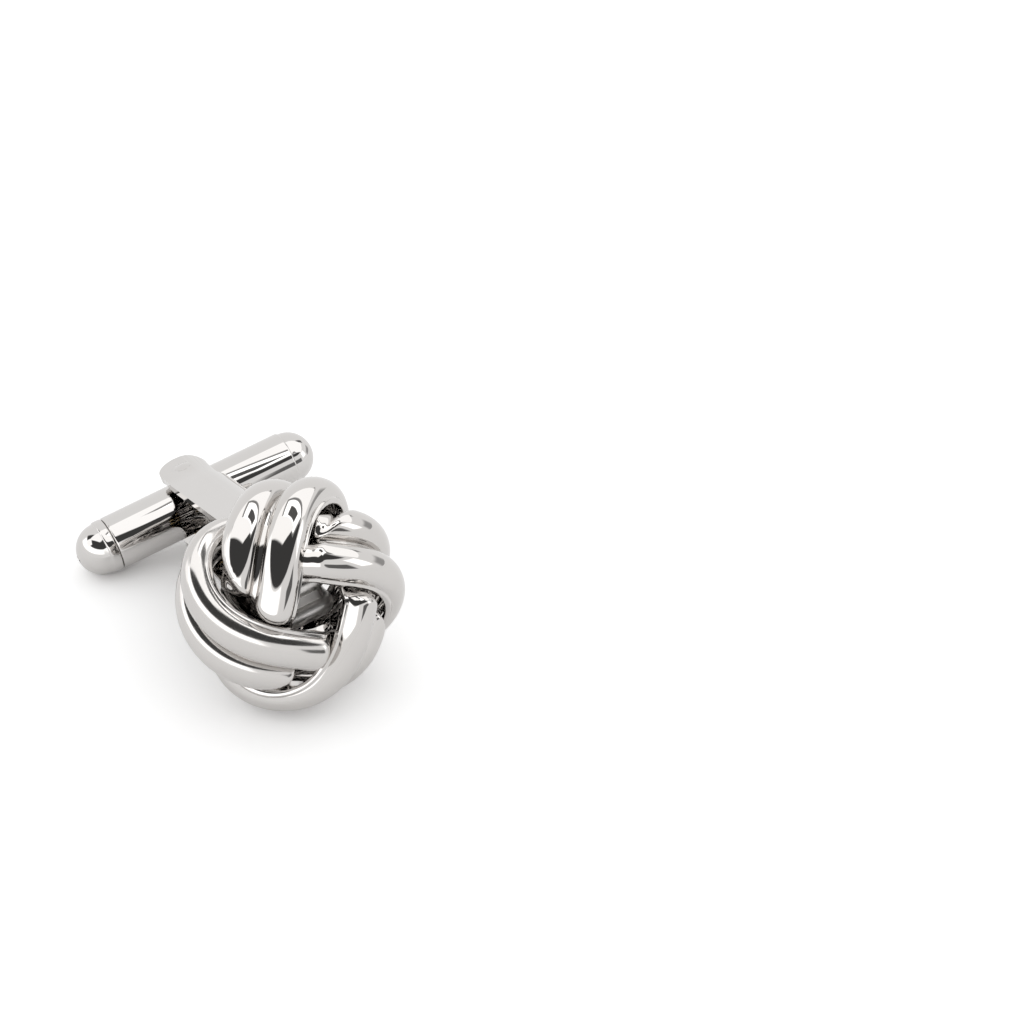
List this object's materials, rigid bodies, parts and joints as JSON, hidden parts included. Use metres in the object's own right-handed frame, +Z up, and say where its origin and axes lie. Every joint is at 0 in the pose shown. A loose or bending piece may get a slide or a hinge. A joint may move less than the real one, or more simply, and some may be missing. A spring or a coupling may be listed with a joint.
{
  "type": "cufflink",
  "caption": "Swivel-back cufflink: an open knot of double-ribbed metal strips on a folded post, with a round-ended bullet that swings in line to pass a buttonhole.",
  "frame": {"origin": "centre of the bounding box on the table plane under the cufflink as it lies at rest", "axes": "+Z up from the table; +Y from the knot towards the bullet, level; +X level, to the side where the post's web is"},
  "size_m": [0.0176, 0.0248, 0.0146],
  "materials": {
    "knot_metal": "mirror-polished bright plating",
    "core_metal": "bright plating, less polished in the recess",
    "solder": "smooth solder fillet under bright plating",
    "frame_metal": "polished stamped sheet, bright plating",
    "leaf_metal": "polished spring sheet, bright plating",
    "pin_metal": "drawn steel wire",
    "bullet_metal": "mirror-polished bright plating",
    "bush_metal": "turned brass, unplated"
  },
  "bodies": {
    "knot_and_post": {"knot_band_a": "knot_metal", "knot_band_b": "knot_metal", "knot_band_c": "knot_metal", "knot_band_d": "knot_metal", "core_strip": "core_metal", "back_brace": "core_metal", "solder_pad": "solder", "post_frame": "frame_metal", "leaf_spring": "leaf_metal", "pivot_pin": "pin_metal"},
    "bullet": {"bullet_tube": "bullet_metal", "bullet_end_cap": "bullet_metal", "pivot_bush": "bush_metal"}
  },
  "joints": [
    {"name": "bullet_swivel", "type": "hinge", "parent": "knot_and_post", "child": "bullet", "pos_m": [0, 0.01009, 0.00331], "axis": [-0.2045, 0.2263, 0.9523], "range_deg": [0, 90]}
  ]
}
